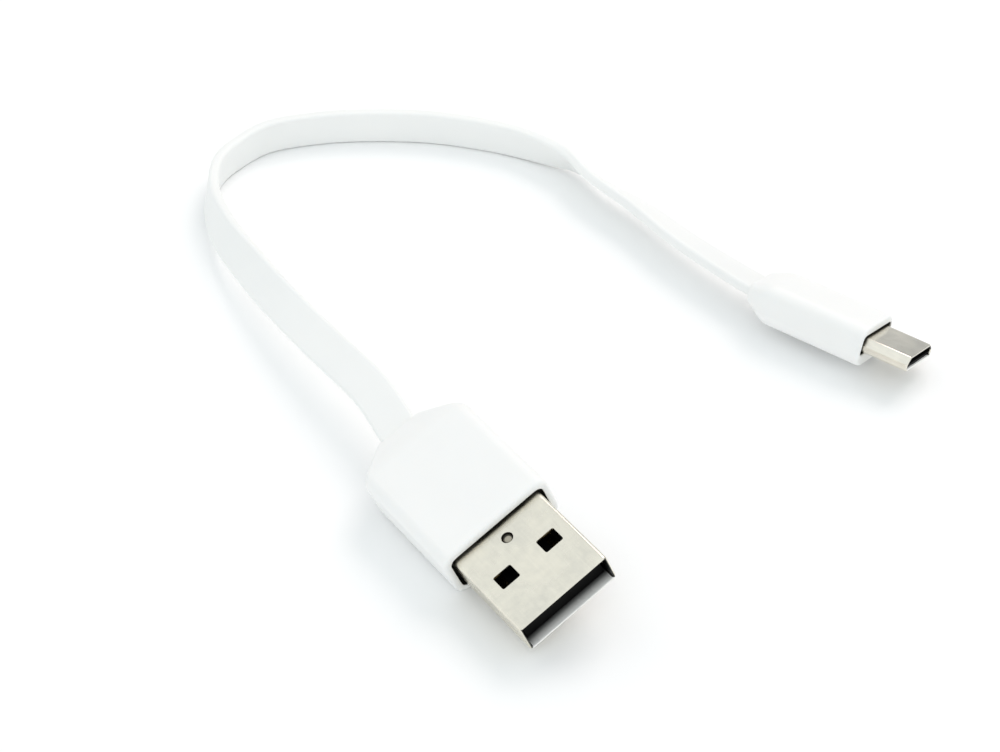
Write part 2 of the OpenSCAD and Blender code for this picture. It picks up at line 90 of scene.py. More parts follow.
# free route of the flat cable in metres, and the lean of its upper face in degrees
FREE_ROUTE = [
    (-0.0261, 0.0162, 0.00545, 21),
    (-0.0254, 0.0205, 0.0057, 22),
    (-0.025, 0.0248, 0.0058, 23),
    (-0.0249, 0.0345, 0.0052, 29),
    (-0.0244, 0.0451, 0.0044, 38),
    (-0.0236, 0.0527, 0.0038, 47),
    (-0.0228, 0.0588, 0.0034, 58),
    (-0.0213, 0.0644, 0.003, 70),
    (-0.0194, 0.0684, 0.0027, 78),
    (-0.0162, 0.0721, 0.00245, 85),
    (-0.0123, 0.0738, 0.0024, 88),
    (-0.007, 0.0744, 0.0024, 90),
    (-0.0002, 0.0718, 0.0024, 90),
    (0.0057, 0.0681, 0.0024, 90),
    (0.0111, 0.0637, 0.0024, 90),
    (0.0156, 0.0586, 0.0024, 89),
    (0.0184, 0.0544, 0.00245, 86),
    (0.0202, 0.0504, 0.0026, 76),
    (0.0215, 0.0467, 0.00275, 60),
    (0.0214, 0.0415, 0.00295, 47),
    (0.0223, 0.0338, 0.00315, 34),
    (0.0226, 0.0248, 0.0034, 25),
]


# sizes in each plug's own frame, in millimetres
LARGE_COVER_FRONT, LARGE_COVER_BACK = 11.75, 31
LARGE_SLEEVE_END = 16.5
SMALL_COVER_FRONT, SMALL_COVER_BACK = 5.8, 21.8
SMALL_SLEEVE_END = 9
DIMPLE_Y = 9.9


def axis_point(plug, y):
    """Place on a plug's axis, y behind its mouth."""
    return plug @ Vector((0, y * MM, 0))


def stop(plug, y, lean):
    """Stop of the route on a plug's axis."""
    return (*axis_point(plug, y), lean)


ROUTE = np.array(
    [stop(LARGE, y, LARGE_ROLL) for y in (22, 25.5, 29)]
    + FREE_ROUTE
    + [stop(SMALL, y, SMALL_ROLL) for y in (22.5, 18, 13.4)]
)


def smooth_route(stops, steps):
    """Uniform Catmull-Rom curve through the stops."""
    p = np.vstack([2 * stops[0] - stops[1], stops, 2 * stops[-1] - stops[-2]])
    out = []
    for i in range(1, len(p) - 2):
        a, b, c, d = p[i - 1], p[i], p[i + 1], p[i + 2]
        for k in range(steps):
            t = k / steps
            out.append(
                (
                    2 * b
                    + (c - a) * t
                    + (2 * a - 5 * b + 4 * c - d) * t * t
                    + (3 * b - a - 3 * c + d) * t**3
                )
                / 2
            )
    out.append(stops[-1])
    return np.array(out)


def evenly(line, step):
    """The same line with its points about step apart."""
    along = np.concatenate([[0], np.cumsum(np.linalg.norm(np.diff(line[:, :3], axis=0), axis=1))])
    at = np.linspace(0, along[-1], int(round(along[-1] / step)) + 1)
    return np.stack([np.interp(at, along, line[:, k]) for k in range(line.shape[1])], axis=1)


def stations(line):
    """[place, direction across the cable, direction out of its upper face] along a leaning line."""
    out = []
    last = len(line) - 1
    for i, p in enumerate(line):
        t = Vector(line[min(i + 1, last)][:3] - line[max(i - 1, 0)][:3]).normalized()
        h = Vector((0, 0, 1)).cross(t).normalized()
        a = math.radians(p[3])
        n = t.cross(h) * math.cos(a) + h * math.sin(a)
        out.append((Vector(p[:3]), t.cross(n), n))
    return out


LINE = evenly(smooth_route(ROUTE, 24), 0.9 * MM)
STATIONS = stations(LINE)


def plug_station(plug, y, like):
    """Station on a plug's axis that is turned like another one."""
    return (axis_point(plug, y), like[1], like[2])


def place(station, u, v):
    """Place u across the cable and v out of its upper face from a station, both in millimetres."""
    return station[0] + station[1] * (u * MM) + station[2] * (v * MM)


# ---------------------------------------------------------------- mesh tools

# smallest cross product of two directions that still meet, how far past an edge's end still counts,
# and the length under which an edge is taken away
PARALLEL = 1e-12
ON_EDGE = 1e-9
SLIVER = 1e-4


def rounded_ring(x0, x1, z0, z1, r, arc=8, nx=8, nz=4):
    """Rounded rectangle with the same number of points whatever its size: arc + 1 on each corner,
    nx along the top and the bottom, nz along each side."""
    corners = [(x1 - r, z1 - r, 0), (x0 + r, z1 - r, 90), (x0 + r, z0 + r, 180), (x1 - r, z0 + r, 270)]
    arcs = []
    for cx, cz, start in corners:
        turns = [math.radians(start + 90 * k / arc) for k in range(arc + 1)]
        arcs.append([(cx + r * math.cos(a), cz + r * math.sin(a)) for a in turns])
    ring = []
    for i, points in enumerate(arcs):
        ring += points
        a, b = points[-1], arcs[(i + 1) % 4][0]
        n = nx if i % 2 == 0 else nz
        for k in range(1, n + 1):
            ring.append((a[0] + (b[0] - a[0]) * k / (n + 1), a[1] + (b[1] - a[1]) * k / (n + 1)))
    return ring


def rounded_polygon(corners, radii, arc):
    """Polygon with a round corner at each point, of arc steps."""
    out = []
    n = len(corners)
    for i, (corner, r) in enumerate(zip(corners, radii)):
        p = Vector(corner)
        a = (Vector(corners[i - 1]) - p).normalized()
        b = (Vector(corners[(i + 1) % n]) - p).normalized()
        half = math.acos(max(-1, min(1, a.dot(b)))) / 2
        mid = p + (a + b).normalized() * (r / math.sin(half))
        start, end = p + a * (r / math.tan(half)) - mid, p + b * (r / math.tan(half)) - mid
        turn = math.atan2(start.cross(end), start.dot(end))
        for k in range(arc + 1):
            c, s = math.cos(turn * k / arc), math.sin(turn * k / arc)
            out.append((mid.x + start.x * c - start.y * s, mid.y + start.x * s + start.y * c))
    return out


def cast(outline, towards):
    """For each point of one ring, the point of an outline in the same direction from the origin."""
    found = []
    for q in towards:
        d = Vector(q)
        best = 0
        for a, b in zip(outline, outline[1:] + outline[:1]):
            a, e = Vector(a), Vector(b) - Vector(a)
            det = d.cross(e)
            if abs(det) > PARALLEL:
                t, s = a.cross(e) / det, a.cross(d) / det
                if t > best and -ON_EDGE <= s <= 1 + ON_EDGE:
                    best = t
        found.append(tuple(d * best))
    return found


def grow(ring, by):
    """Ring moved outwards by the same amount all round."""
    out = []
    n = len(ring)
    for i in range(n):
        a, b = Vector(ring[i - 1]), Vector(ring[(i + 1) % n])
        t = (b - a).normalized()
        out.append((ring[i][0] + t.y * by, ring[i][1] - t.x * by))
    return out


def loft(bm, rings, closed=False, cap=False):
    """Quads between rings of 3D points; closed joins the last ring to the first."""
    rows = [[bm.verts.new(p) for p in ring] for ring in rings]
    pairs = list(zip(rows, rows[1:])) + ([(rows[-1], rows[0])] if closed else [])
    for a, b in pairs:
        n = len(a)
        for k in range(n):
            bm.faces.new((a[k], a[(k + 1) % n], b[(k + 1) % n], b[k]))
    if cap:
        bm.faces.new(rows[0])
        bm.faces.new(rows[-1])
    return rows


def at_y(ring, y):
    """Ring of (x, z) points as 3D points at y."""
    return [Vector((x, y, z)) for x, z in ring]


def made(bm, name):
    """New object from bm, with its normals facing outwards."""
    bmesh.ops.recalc_face_normals(bm, faces=bm.faces)
    mesh = bpy.data.meshes.new(name)
    bm.to_mesh(mesh)
    bm.free()
    obj = bpy.data.objects.new(name, mesh)
    scene.collection.objects.link(obj)
    return obj


def settled(obj):
    """obj with its modifiers turned into its mesh."""
    bpy.context.view_layer.update()
    graph = bpy.context.evaluated_depsgraph_get()
    mesh = bpy.data.meshes.new_from_object(obj.evaluated_get(graph))
    old = obj.data
    obj.modifiers.clear()
    obj.data = mesh
    bpy.data.meshes.remove(old)
    return obj


def cut(obj, cutters, operation="DIFFERENCE"):
    """obj with the cutters taken out of it, or joined to it."""
    for c in cutters:
        m = obj.modifiers.new("cut", "BOOLEAN")
        m.operation = operation
        m.solver = "EXACT"
        m.object = c
    settled(obj)
    for c in cutters:
        bpy.data.objects.remove(c)
    return obj


def prism(ring, a, b, along_x=False):
    """Solid from a ring of (x, y) points that runs from a to b along Z, or (y, z) points along X."""
    bm = bmesh.new()
    loft(bm, [[Vector((at, *p) if along_x else (*p, at)) for p in ring] for at in (a, b)], cap=True)
    return made(bm, "prism")


def box(x0, x1, y0, y1, z0, z1):
    """Block between two corners."""
    return prism([(x0, y0), (x1, y0), (x1, y1), (x0, y1)], z0, z1)


def bevel(obj, width, angle):
    """Rounds every edge of obj that is sharper than the angle."""
    m = obj.modifiers.new("bevel", "BEVEL")
    m.width = width
    m.segments = 2
    m.limit_method = "ANGLE"
    m.angle_limit = math.radians(angle)
    m.use_clamp_overlap = True


def bevelled(obj, width, angle):
    """obj with its sharp edges rounded in its mesh."""
    bevel(obj, width, angle)
    return settled(obj)


def cleaned(obj):
    """Without doubled points or slivers."""
    bm = bmesh.new()
    bm.from_mesh(obj.data)
    bmesh.ops.remove_doubles(bm, verts=bm.verts, dist=SLIVER)
    bmesh.ops.dissolve_degenerate(bm, edges=bm.edges, dist=SLIVER)
    bmesh.ops.recalc_face_normals(bm, faces=bm.faces)
    bm.to_mesh(obj.data)
    bm.free()
    return obj


def settle_in(obj, name, body, node, paints, sharp):
    """Names, smooths and paints a piece, hangs it on the body it rides on and hides the CAD node it stands
    for.
    """
    obj.name = obj.data.name = name
    for p in obj.data.polygons:
        p.use_smooth = True
    obj.data.set_sharp_from_angle(angle=math.radians(sharp))
    for paint in paints:
        obj.data.materials.append(paint)
    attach(obj, body)
    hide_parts(node)
    return obj


def finished(obj, name, plug, body, node, slot, *paints):
    """Brings a piece built in a plug's frame in millimetres into the scene, in metres."""
    obj.data.transform(Matrix.Scale(MM, 4))
    obj.matrix_world = plug
    m = obj.modifiers.new("normals", "WEIGHTED_NORMAL")
    m.keep_sharp = True
    m.weight = 60
    return settle_in(obj, name, body, node, paints, 38)


# ---------------------------------------------------------------- materials

# outward direction of the small sleeve's sloping sides
SLOPE_X, SLOPE_Z = 0.741, 0.671
# reach of the dimple, the slice of a bore that is its lower face, and how far in that face the painted light
# fades to painted shade
PIT_R = 0.8 * MM
LOWER_FACE = 0.15 * MM
LIT_DEPTH = 1.4 * MM


def nodes_of(name):
    """New material, its node tree and its shader."""
    mat = bpy.data.materials.new(name)
    mat.use_nodes = True
    tree = mat.node_tree
    shader = tree.nodes["Principled BSDF"]
    return mat, tree, shader


def link(tree, a, b):
    tree.links.new(a, b)


def coords(tree, scale):
    """Object coordinates scaled along each axis."""
    tc = tree.nodes.new("ShaderNodeTexCoord")
    mp = tree.nodes.new("ShaderNodeMapping")
    mp.inputs["Scale"].default_value = scale
    link(tree, tc.outputs["Object"], mp.inputs["Vector"])
    return mp.outputs["Vector"]


def noise(tree, vector, scale, detail, rough=0.55):
    """Noise texture: a value from 0 to 1."""
    n = tree.nodes.new("ShaderNodeTexNoise")
    n.inputs["Scale"].default_value = scale
    n.inputs["Detail"].default_value = detail
    n.inputs["Roughness"].default_value = rough
    link(tree, vector, n.inputs["Vector"])
    return n.outputs["Fac"]


def ranged(tree, value, low, high, a=0.3, b=0.7):
    """value carried from the range a to b over to the range low to high."""
    n = tree.nodes.new("ShaderNodeMapRange")
    n.inputs["From Min"].default_value = a
    n.inputs["From Max"].default_value = b
    n.inputs["To Min"].default_value = low
    n.inputs["To Max"].default_value = high
    link(tree, value, n.inputs["Value"])
    return n.outputs["Result"]


def ramp(tree, value, stops):
    """Colour along value, from stops of (position, colour)."""
    n = tree.nodes.new("ShaderNodeValToRGB")
    while len(n.color_ramp.elements) > 1:
        n.color_ramp.elements.remove(n.color_ramp.elements[-1])
    n.color_ramp.elements[0].position = stops[0][0]
    n.color_ramp.elements[0].color = (*stops[0][1], 1)
    for at, colour in stops[1:]:
        n.color_ramp.elements.new(at).color = (*colour, 1)
    link(tree, value, n.inputs["Fac"])
    return n.outputs["Color"]


def mixed(tree, factor, a, b, how="MIX"):
    """Colour b over colour a. Each input is a socket or a value."""
    n = tree.nodes.new("ShaderNodeMix")
    n.data_type = "RGBA"
    n.blend_type = how
    for socket, value in ((n.inputs[0], factor), (n.inputs[6], a), (n.inputs[7], b)):
        if hasattr(value, "is_linked"):
            link(tree, value, socket)
        else:
            socket.default_value = value if isinstance(value, float) else (*value, 1)
    return n.outputs[2]


def bumped(tree, shader, layers):
    """Bump layers, each (height value, depth in metres, strength)."""
    normal = None
    for height, depth, strength in layers:
        n = tree.nodes.new("ShaderNodeBump")
        n.inputs["Distance"].default_value = depth
        n.inputs["Strength"].default_value = strength
        link(tree, height, n.inputs["Height"])
        if normal is not None:
            link(tree, normal, n.inputs["Normal"])
        normal = n.outputs["Normal"]
    link(tree, normal, shader.inputs["Normal"])


def axes(tree, vector):
    """x, y and z of a vector socket."""
    n = tree.nodes.new("ShaderNodeSeparateXYZ")
    link(tree, vector, n.inputs[0])
    return n.outputs


def sums(tree, how, a, b=None):
    """One step of arithmetic on values or sockets."""
    n = tree.nodes.new("ShaderNodeMath")
    n.operation = how
    for socket, value in zip(n.inputs, (a, b)):
        if hasattr(value, "is_linked"):
            link(tree, value, socket)
        elif value is not None:
            socket.default_value = value
    return n.outputs[0]


def shaded(tree, base, value, stops):
    """base darkened by a ramp along value."""
    return mixed(tree, 1.0, base, ramp(tree, value, stops), "MULTIPLY")


def distance(tree, vector, point):
    """How far a vector socket is from a point."""
    n = tree.nodes.new("ShaderNodeVectorMath")
    n.operation = "DISTANCE"
    n.inputs[1].default_value = point
    link(tree, vector, n.inputs[0])
    return n.outputs["Value"]


def inside_bore(tree, x, z, bore):
    """1 on the inner faces of a sleeve and 0 on its outer ones."""
    half_width, half_height, slope = bore
    x_size = sums(tree, "ABSOLUTE", x)
    within = sums(tree, "LESS_THAN", x_size, half_width)
    within = sums(tree, "MULTIPLY", within, sums(tree, "LESS_THAN", sums(tree, "ABSOLUTE", z), half_height))
    lean = sums(tree, "MULTIPLY", x_size, SLOPE_X)
    lean = sums(tree, "ADD", lean, sums(tree, "MULTIPLY", z, SLOPE_Z))
    return sums(tree, "MULTIPLY", within, sums(tree, "LESS_THAN", lean, slope))


def steel(name, light, dark, rough, pit=None, bore=None):
    """Bright plated sheet: cloudy plating with faint rolling lines. pit is the middle of a pressed
    dimple, whose wall and floor are darkened with painted shade. bore bounds the duller inner faces of a
    sleeve, which are painted dark as shade, the lower one with painted light at the mouth that fades to
    painted shade deeper in: half the width, half the height, and how far from the axis its sloping sides are."""
    mat, tree, s = nodes_of(name)
    plain = coords(tree, (1, 1, 1))
    clouds = noise(tree, plain, 230, 3, 0.5)
    patches = noise(tree, plain, 900, 4, 0.6)
    lines = noise(tree, coords(tree, (4200, 160, 4200)), 1, 2, 0.6)
    specks = noise(tree, plain, 4200, 2, 0.5)
    base = ramp(tree, clouds, [(0.34, dark), (0.66, light)])
    base = shaded(tree, base, patches, [(0.35, (0.95, 0.95, 0.955)), (0.62, (1, 1, 1))])
    base = shaded(tree, base, lines, [(0.3, (0.965, 0.965, 0.965)), (0.7, (1, 1, 1))])
    shine = off_pit = None
    if pit:
        far = distance(tree, plain, pit)
        # painted shade: a near-black ring on the dimple's wall and a darker floor stand in for the shade
        # inside the dimple
        wall = (0.05, 0.05, 0.045)
        dish = [(0.0, (0.62, 0.6, 0.56)), (0.4, (0.5, 0.48, 0.45))]
        dish += [(0.5, wall), (0.66, wall), (0.72, (1, 1, 1))]
        base = shaded(tree, base, ranged(tree, far, 0, 1, 0, MM), dish)
        off_pit = sums(tree, "GREATER_THAN", far, PIT_R)
    if bore:
        x, y, z = axes(tree, plain)
        within = inside_bore(tree, x, z, bore)
        if off_pit:
            within = sums(tree, "MULTIPLY", within, off_pit)
        lower = sums(tree, "MULTIPLY", within, sums(tree, "LESS_THAN", z, LOWER_FACE - bore[1]))
        # painted light and shade on the lower inner face: near white at the mouth, fading to near black
        # deeper in, where the sleeve is in shade
        painted_light_and_shade = [(0.25, (1, 0.99, 0.96)), (0.5, (0.68, 0.67, 0.65))]
        painted_light_and_shade += [(0.75, (0.25, 0.25, 0.24)), (1.0, (0.03, 0.03, 0.03))]
        # painted shade: the inner faces of the sleeve are painted near black where the inside is in shade
        base = mixed(tree, within, base, (0.06, 0.06, 0.055))
        base = mixed(tree, lower, base, ramp(tree, ranged(tree, y, 0, 1, 0, LIT_DEPTH), painted_light_and_shade))
        shine = ranged(tree, lower, 1, 0.1, 0, 1)
    link(tree, base, s.inputs["Base Color"])
    if shine:
        link(tree, shine, s.inputs["Metallic"])
    else:
        s.inputs["Metallic"].default_value = 1
    link(tree, ranged(tree, clouds, rough - 0.04, rough + 0.05), s.inputs["Roughness"])
    bumped(tree, s, [(lines, 0.000003, 0.12), (specks, 0.000003, 0.2), (patches, 0.000012, 0.15)])
    return mat


def plastic(name, light, dark, rough, spread, grain, scatter=0.0, gloss=0.5):
    """Moulded plastic: faint clouding, fine grain in the skin and slightly uneven gloss."""
    mat, tree, s = nodes_of(name)
    clouds = noise(tree, coords(tree, (1, 1, 1)), spread, 4, 0.55)
    skin = noise(tree, coords(tree, (1, 1, 1)), grain, 3, 0.6)
    link(tree, ramp(tree, clouds, [(0.3, dark), (0.7, light)]), s.inputs["Base Color"])
    link(tree, ranged(tree, clouds, rough - 0.05, rough + 0.06), s.inputs["Roughness"])
    s.inputs["Specular IOR Level"].default_value = gloss
    if scatter:
        s.inputs["Subsurface Weight"].default_value = scatter
        s.inputs["Subsurface Radius"].default_value = (1, 0.9, 0.8)
        s.inputs["Subsurface Scale"].default_value = 0.0008
    bumped(tree, s, [(skin, 0.000006, 0.4)])
    return mat


def recess(name, front):
    """Matt inner faces of a cover's front opening, darkened behind the rim by painted shade."""
    mat, tree, s = nodes_of(name)
    plain = coords(tree, (1, 1, 1))
    depth = ranged(tree, axes(tree, plain)["Y"], 0, 1, front * MM, (front + 0.4) * MM)
    # painted shade: pale at the rim and near black deeper in, where the gap round the sleeve is in shade
    shade = ramp(tree, depth, [(0.1, (0.8, 0.8, 0.78)), (0.55, (0.02, 0.02, 0.016))])
    stain = ramp(tree, noise(tree, plain, 2600, 3), [(0.3, (0.7, 0.7, 0.68)), (0.7, (1, 1, 1))])
    link(tree, mixed(tree, 1.0, shade, stain, "MULTIPLY"), s.inputs["Base Color"])
    s.inputs["Roughness"].default_value = 0.7
    s.inputs["Specular IOR Level"].default_value = 0.1
    bumped(tree, s, [(noise(tree, plain, 6000, 2), 0.000005, 0.3)])
    return mat


def metal(name, light, dark, rough, spread=1500):
    """Small plated or bare metal part with slightly worn, uneven gloss."""
    mat, tree, s = nodes_of(name)
    wear = noise(tree, coords(tree, (1, 1, 1)), spread, 4, 0.6)
    grain = noise(tree, coords(tree, (9000, 900, 9000)), 1, 2, 0.5)
    link(tree, ramp(tree, wear, [(0.3, dark), (0.72, light)]), s.inputs["Base Color"])
    s.inputs["Metallic"].default_value = 1
    link(tree, ranged(tree, wear, rough + 0.1, rough - 0.03), s.inputs["Roughness"])
    bumped(tree, s, [(grain, 0.000003, 0.4)])
    return mat


# each bore reaches to about the middle of the sheet; the large sleeve has no sloping sides
LIGHT_STEEL, DARK_STEEL = (0.9, 0.855, 0.755), (0.83, 0.795, 0.71)
SMALL_BORE = (3.1 * MM, 0.78 * MM, 2.49 * MM)
LARGE_BORE = (5.83 * MM, 2.08 * MM, 1)
PIT = (0, DIMPLE_Y * MM, 2.05 * MM)
STEEL = steel("bright_plated_steel", LIGHT_STEEL, DARK_STEEL, 0.22)
SMALL_SLEEVE = steel("bright_plated_small_sleeve", LIGHT_STEEL, DARK_STEEL, 0.22, bore=SMALL_BORE)
SLEEVE = steel("bright_plated_sleeve", (0.885, 0.84, 0.725), (0.8, 0.765, 0.67), 0.26, PIT, LARGE_BORE)
BLACK = plastic("black_moulded_plastic", (0.006,) * 3, (0.003,) * 3, 0.55, 900, 8000, gloss=0.06)
WHITE = plastic("white_satin_cover", (0.905, 0.902, 0.888), (0.89, 0.888, 0.875), 0.45, 160, 6000, 0.12)
LARGE_OPENING = recess("large_opening_shade", LARGE_COVER_FRONT)
SMALL_OPENING = recess("small_opening_shade", SMALL_COVER_FRONT)
MILKY = plastic("milky_inner_plastic", (0.82, 0.82, 0.78), (0.76, 0.76, 0.72), 0.35, 400, 5000, 0.5)
GOLD = metal("gold_plated_contact", (0.86, 0.62, 0.28), (0.74, 0.5, 0.2), 0.14)
TIN = metal("solder_bead", (0.78, 0.78, 0.79), (0.62, 0.63, 0.65), 0.3, 2500)
COPPER = metal("copper_strand", (0.86, 0.5, 0.33), (0.72, 0.38, 0.24), 0.25, 1200)
RED = plastic("red_wire_skin", (0.62, 0.035, 0.03), (0.52, 0.025, 0.025), 0.32, 600, 7000)
PALE = plastic("white_wire_skin", (0.82, 0.82, 0.8), (0.76, 0.76, 0.74), 0.32, 600, 7000)
GREEN = plastic("green_wire_skin", (0.03, 0.33, 0.09), (0.025, 0.27, 0.07), 0.32, 600, 7000)
DARK = plastic("black_wire_skin", (0.02, 0.02, 0.02), (0.012, 0.012, 0.012), 0.32, 600, 7000)
JACKET = plastic("white_cable_skin", (0.905, 0.905, 0.885), (0.885, 0.886, 0.87), 0.42, 120, 6500, 0.12)

# ---------------------------------------------------------------- flat cable

CABLE_W, CABLE_T, CABLE_R = 4.7, 1.3, 0.42

# the four wires across the cable, and their tails across each plug
SIGNALS = ("vbus", "d_minus", "d_plus", "ground")
WIRE_U = (1.65, 0.55, -0.55, -1.65)
LARGE_TAIL_X = (3.5, 1, -1, -3.5)
SMALL_TAIL_X = (-1.3, -0.65, 0, 1.3)

# top of the tails that the conductors are soldered to
LARGE_TAIL_TOP = -0.05
SMALL_TAIL_TOP = -0.35

# a wire: its channel in the jacket, its skin and the bore of the skin
CHANNEL_R = 0.44
SKIN_R = 0.42
BORE_R = 0.2

# a conductor: six strands wound round a seventh
CONDUCTOR_R = 0.18
STRAND_R = 0.0595
WINDING_R = 0.12
TWIST_LENGTH = 9

# where the wires' skins end, behind each mouth, and the bare conductors fan out
LARGE_SKIN_END = 20
SMALL_SKIN_END = 12.6


def circle(r, n, u, v=0.0):
    """Ring of n points of radius r round (u, v)."""
    turns = [2 * math.pi * k / n for k in range(n)]
    return [(u + r * math.cos(a), v + r * math.sin(a)) for a in turns]


def flat_cable():
    """White jacket with its four channels, along the whole route."""
    outer = rounded_ring(-CABLE_W / 2, CABLE_W / 2, -CABLE_T / 2, CABLE_T / 2, CABLE_R, arc=6, nx=7, nz=1)
    holes = [circle(CHANNEL_R, 12, u) for u in WIRE_U]
    bm = bmesh.new()
    ends = []
    for ring in [outer] + holes:
        rows = loft(bm, [[place(s, *p) for p in ring] for s in STATIONS])
        ends.append((rows[0], rows[-1]))
    flat = [[Vector((x, z, 0)) for x, z in ring] for ring in [outer] + holes]
    for end in (0, 1):
        verts = [v for pair in ends for v in pair[end]]
        for tri in tessellate_polygon(flat):
            bm.faces.new([verts[i] for i in tri])
    return made(bm, "flat_cable")


def covered_run(u):
    """[station, u, v] of a wire from the end of its skin in one plug to the end in the other."""
    run = [(plug_station(LARGE, LARGE_SKIN_END, STATIONS[0]), u, 0)]
    run += [(s, u, 0) for s in STATIONS]
    return run + [(plug_station(SMALL, SMALL_SKIN_END, STATIONS[-1]), u, 0)]


def round_run(run, r):
    """Rings of radius r along a run."""
    return [[place(s, *p) for p in circle(r, 14, u, v)] for s, u, v in run]


def wire_skin(u):
    """Insulation of one wire, with its bore."""
    run = covered_run(u)
    bm = bmesh.new()
    outer, inner = round_run(run, SKIN_R), round_run(run, BORE_R)
    loft(bm, outer + inner[::-1], closed=True)
    return made(bm, "wire")


def eased(t):
    """0 to 1 with a level start and end."""
    return t * t * (3 - 2 * t)


def strands(u, x_large, x_small):
    """Seven fine copper strands twisted into one conductor, with its bare ends."""
    up_large, up_small = LARGE_TAIL_TOP + CONDUCTOR_R, SMALL_TAIL_TOP + CONDUCTOR_R
    first, final = STATIONS[0], STATIONS[-1]
    run = [(plug_station(LARGE, y, first), x_large, up_large) for y in (15.9, 16.6, 17.3)]
    for t in (1 / 6, 2 / 6, 3 / 6, 4 / 6, 5 / 6):
        e = eased(t)
        here = plug_station(LARGE, 17.4 + 2.6 * t, first)
        run.append((here, x_large + (u - x_large) * e, up_large * (1 - e)))
    run += covered_run(u)
    for t in (0.2, 0.4, 0.6, 0.8):
        e = eased(t)
        here = plug_station(SMALL, SMALL_SKIN_END - 1.8 * t, final)
        run.append((here, u + (x_small - u) * e, up_small * e))
    run += [(plug_station(SMALL, y, final), x_small, up_small) for y in (10.8, 10.1, 9.4)]
    bm = bmesh.new()
    for k in range(7):
        rings = []
        turn = 0.0
        last = None
        for s, a, b in run:
            here = place(s, a, b)
            turn += 0 if last is None else (here - last).length / MM * 2 * math.pi / TWIST_LENGTH
            last = here
            r = WINDING_R if k else 0.0
            angle = turn + k * math.pi / 3
            ring = circle(STRAND_R, 6, a + r * math.cos(angle), b + r * math.sin(angle))
            rings.append([place(s, *p) for p in ring])
        loft(bm, rings, cap=True)
    return made(bm, "strands")


def cabled(obj, name, node, paint):
    """Brings a piece made along the route, already in metres, into the scene."""
    return settle_in(obj, name, "cable", node, [paint], 50)


cable = cabled(flat_cable(), "flat_cable", "ribbon_jacket", JACKET)
on_cable = []
for name, u, paint in zip(("red", "white", "green", "black"), WIRE_U, (RED, PALE, GREEN, DARK)):
    skin = cabled(wire_skin(u), f"{name}_wire", f"{name}_wire_insulation", paint)
    on_cable.append(skin)
for name, u, x_large, x_small in zip(SIGNALS, WIRE_U, LARGE_TAIL_X, SMALL_TAIL_X):
    core = strands(u, x_large, -x_small)
    on_cable.append(cabled(core, f"{name}_strands", f"{name}_conductor", COPPER))

# ---------------------------------------------------------------- large plug

# front opening and back slot of both covers; the slot is a hair wider than the cable
OPENING_DEPTH = 1.2
SLOT_HALF_W, SLOT_HALF_T = 2.36, 0.66

# features of the large sleeve
SEAM_HALF = 0.03
DIMPLE_BOSS_R = 0.85
LARGE_WINDOW_X = 3


def front_edge(front, w, lo, hi, r, steps, inset, depth):
    """Sections of a cover's rounded front edge: (y, half width, low, high, corner radius)."""
    out = []
    for k in range(steps + 1):
        a = math.radians(90 * k / steps)
        e = inset * (1 - math.sin(a))
        out.append((front + depth * (1 - math.cos(a)), w - e, lo + e, hi - e, r - e * 0.6))
    return out


def cover(sections, mouth, opening, room, sleeve_end, room_end):
    """Closed cover: rounded outside, an opening round the metal sleeve, room for the inner moulding
    and a slot for the flat cable. The walls and the floor of the opening have the second material."""
    front, back = sections[0][0], sections[-1][0]
    floor_y = front + OPENING_DEPTH
    outer = [at_y(rounded_ring(-w, w, lo, hi, r, arc=8, nx=10, nz=4), y) for y, w, lo, hi, r in sections]
    shape = [(p.x, p.z) for p in outer[len(outer) // 2]]
    slot = cast(rounded_ring(-SLOT_HALF_W, SLOT_HALF_W, -SLOT_HALF_T, SLOT_HALF_T, CABLE_R), shape)
    mouth = cast(mouth, shape)
    room = cast(room, shape)
    wall = cast(opening, shape)
    inner = [(slot, back), (slot, room_end), (room, room_end), (room, sleeve_end)]
    first_dark = len(outer) + len(inner)
    inner += [(mouth, sleeve_end), (mouth, floor_y), (wall, floor_y), (wall, front + 0.09)]
    inner += [(cast(grow(opening, 0.03), shape), front + 0.03), (cast(grow(opening, 0.08), shape), front)]
    bm = bmesh.new()
    loft(bm, outer + [at_y(ring, y) for ring, y in inner], closed=True)
    n = len(shape)
    bm.faces.ensure_lookup_table()
    for face in bm.faces[first_dark * n : (first_dark + 3) * n]:
        face.material_index = 1
    return made(bm, "cover")


def large_cover():
    """White cover of the large plug, which narrows to the cable at its back."""
    w, lo, hi, r = 7.3, -3.4, 3.6, 1.4
    sections = front_edge(LARGE_COVER_FRONT, w, lo, hi, r, 6, 0.45, 0.45)
    sections += [(y, w, lo, hi, r) for y in (13, 16, 19, 22, 25, 26.2)]
    sections += [
        (26.6, 7.27, -3.38, 3.58, 1.4),
        (27.0, 7.16, -3.31, 3.51, 1.38),
        (27.4, 6.95, -3.2, 3.4, 1.34),
        (27.8, 6.65, -3.06, 3.26, 1.28),
        (28.4, 6.06, -2.8, 3.0, 1.2),
        (29.2, 5.2, -2.4, 2.6, 1.1),
        (30.0, 4.35, -1.98, 2.18, 0.98),
        (30.6, 3.72, -1.65, 1.85, 0.88),
        (30.88, 3.4, -1.46, 1.66, 0.8),
        (LARGE_COVER_BACK, 3.22, -1.33, 1.53, 0.72),
    ]
    return cover(
        sections,
        mouth=rounded_ring(-6.0, 6.0, -2.25, 2.25, 0.5),
        opening=rounded_ring(-6.45, 6.45, -2.7, 2.7, 0.9),
        room=rounded_ring(-6.2, 6.2, -2.5, 2.5, 0.1),
        sleeve_end=LARGE_SLEEVE_END,
        room_end=25.5,
    )


def window(x, half, y0, y1, r, arc):
    """Rounded window in a sheet: (x, y) points."""
    return rounded_polygon([(x - half, y0), (x + half, y0), (x + half, y1), (x - half, y1)], [r] * 4, arc)


